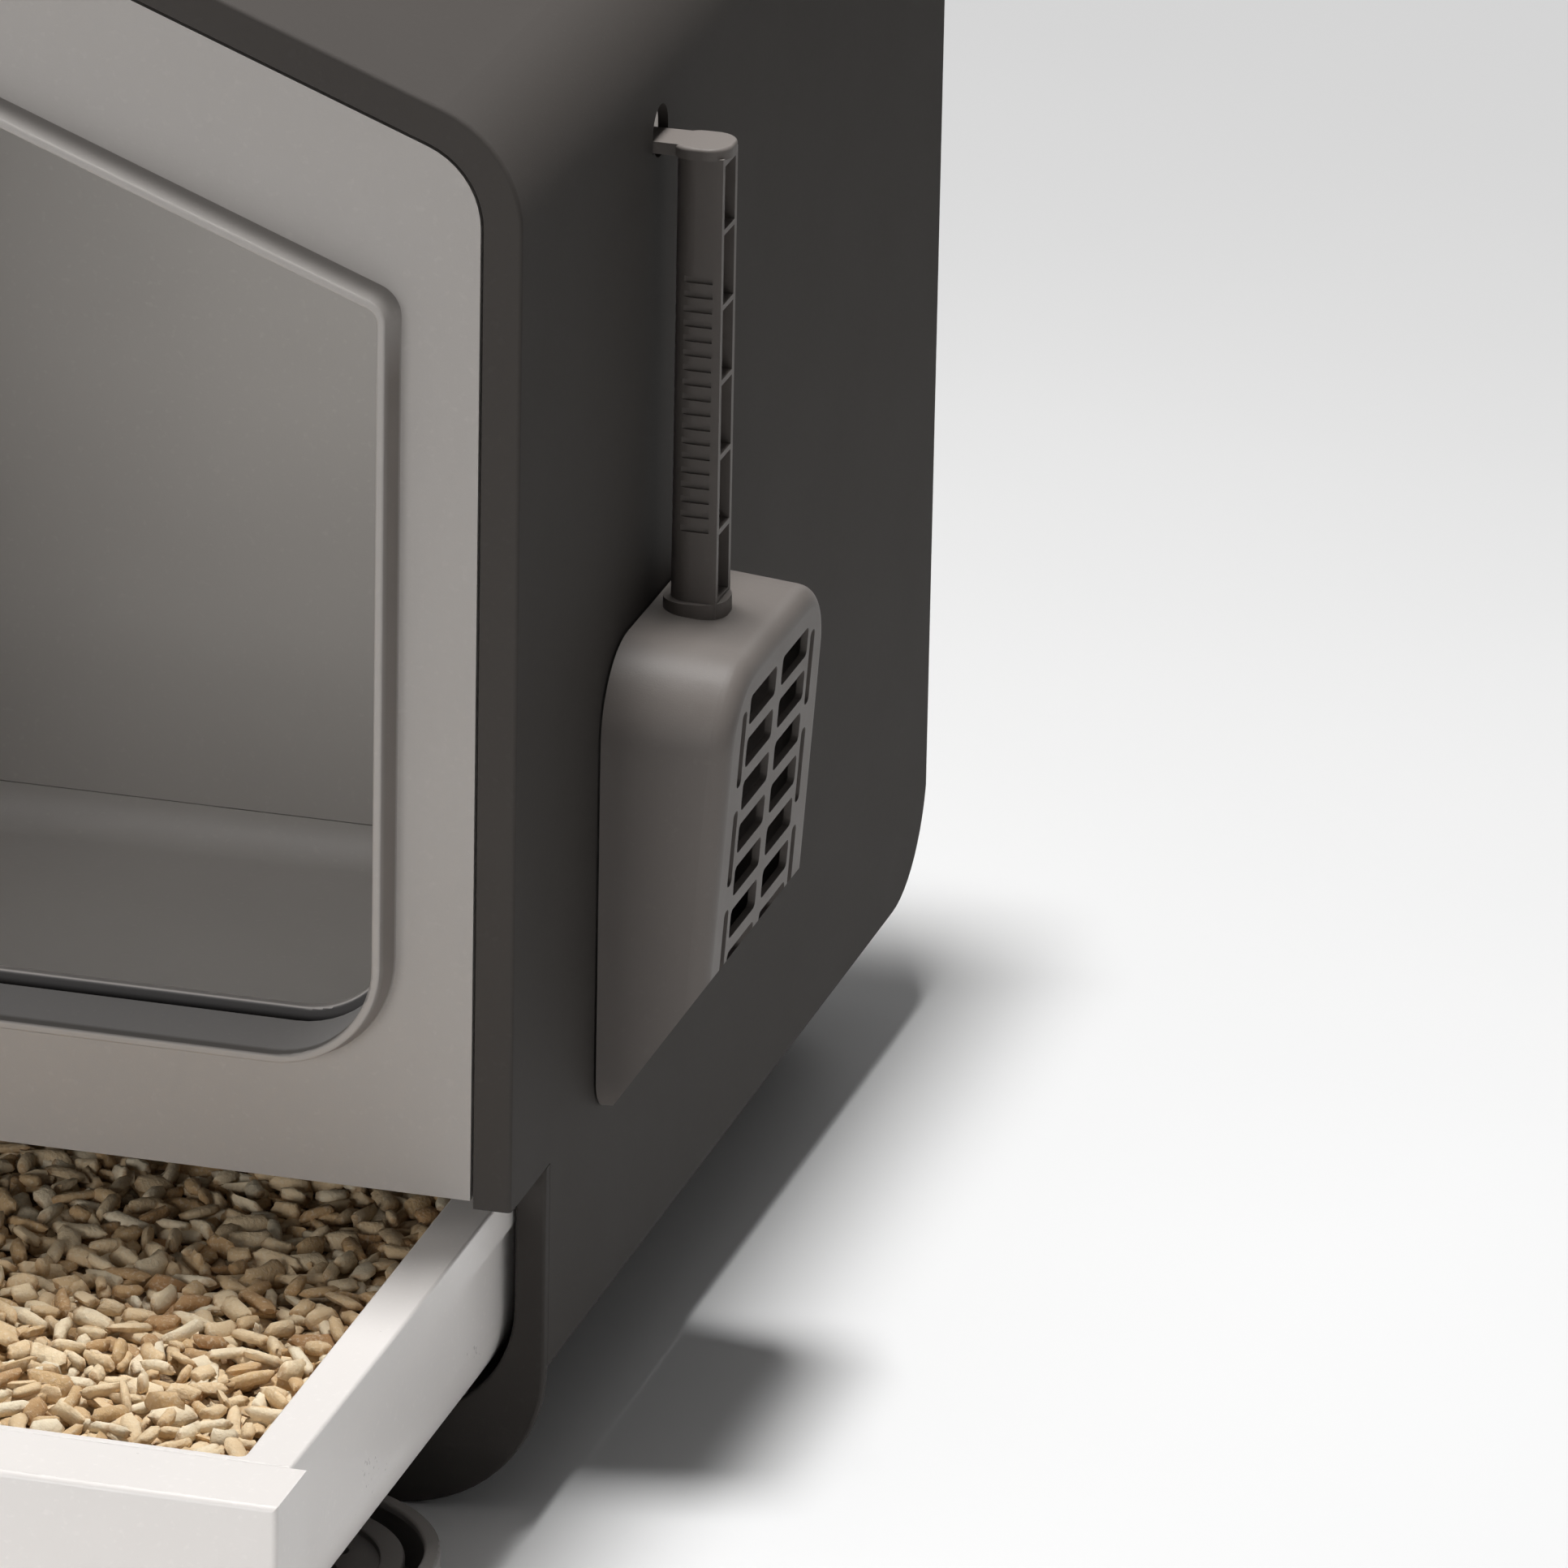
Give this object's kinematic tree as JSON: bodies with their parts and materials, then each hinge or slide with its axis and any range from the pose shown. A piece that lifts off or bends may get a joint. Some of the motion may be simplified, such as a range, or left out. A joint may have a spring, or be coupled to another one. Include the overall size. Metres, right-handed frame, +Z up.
{
  "type": "drawer litter box",
  "caption": "Enclosed house-shaped pet litter box with a pull-out litter drawer, a doorway, a hanging sifting scoop and a low step in front.",
  "frame": {"origin": "on the floor, under the middle of the base's front frame", "axes": "+Z up, the doorway and drawer face -Y, +X to the right seen from the front"},
  "size_m": [0.4386, 0.642, 0.4965],
  "materials": {
    "dark_shell": "fine satin grain",
    "light_panel": "fine satin grain",
    "drawer_white": "smooth semi-gloss",
    "scoop_grey": "satin",
    "step_dark": "satin",
    "rubber_black": "matt",
    "litter_pellets": "dry pressed pellets",
    "screw_steel": "zinc plated"
  },
  "bodies": {
    "base": {"base_tub": "dark_shell", "floor_liner": "light_panel", "foot_front_left": "rubber_black", "foot_front_right": "rubber_black", "foot_rear_left": "rubber_black", "foot_rear_right": "rubber_black"},
    "hood": {"hood_shell": "dark_shell", "front_panel": "light_panel", "entrance_frame": "light_panel", "rear_panel": "light_panel"},
    "drawer": {"drawer_front": "drawer_white", "drawer_tray": "drawer_white", "drawer_rim": "drawer_white", "drawer_screws": "screw_steel", "litter_bed": "litter_pellets"},
    "scoop": {"scoop": "scoop_grey"},
    "step": {"step_tray": "step_dark", "step_deck": "step_dark"}
  },
  "joints": [
    {"name": "drawer_slide", "type": "slide", "parent": "base", "child": "drawer", "axis": [0, -1, 0], "range_m": [-0.204, 0.115]},
    {"name": "hood_lift", "type": "slide", "parent": "base", "child": "hood", "axis": [0, 0, 1], "range_m": [0, 0.1]},
    {"name": "scoop_lift", "type": "slide", "parent": "hood", "child": "scoop", "axis": [0.8192, 0, 0.5736], "range_m": [0, 0.08]},
    {"name": "step_pull", "type": "slide", "parent": "base", "child": "step", "axis": [0, -1, 0], "range_m": [0, 0.1]}
  ]
}
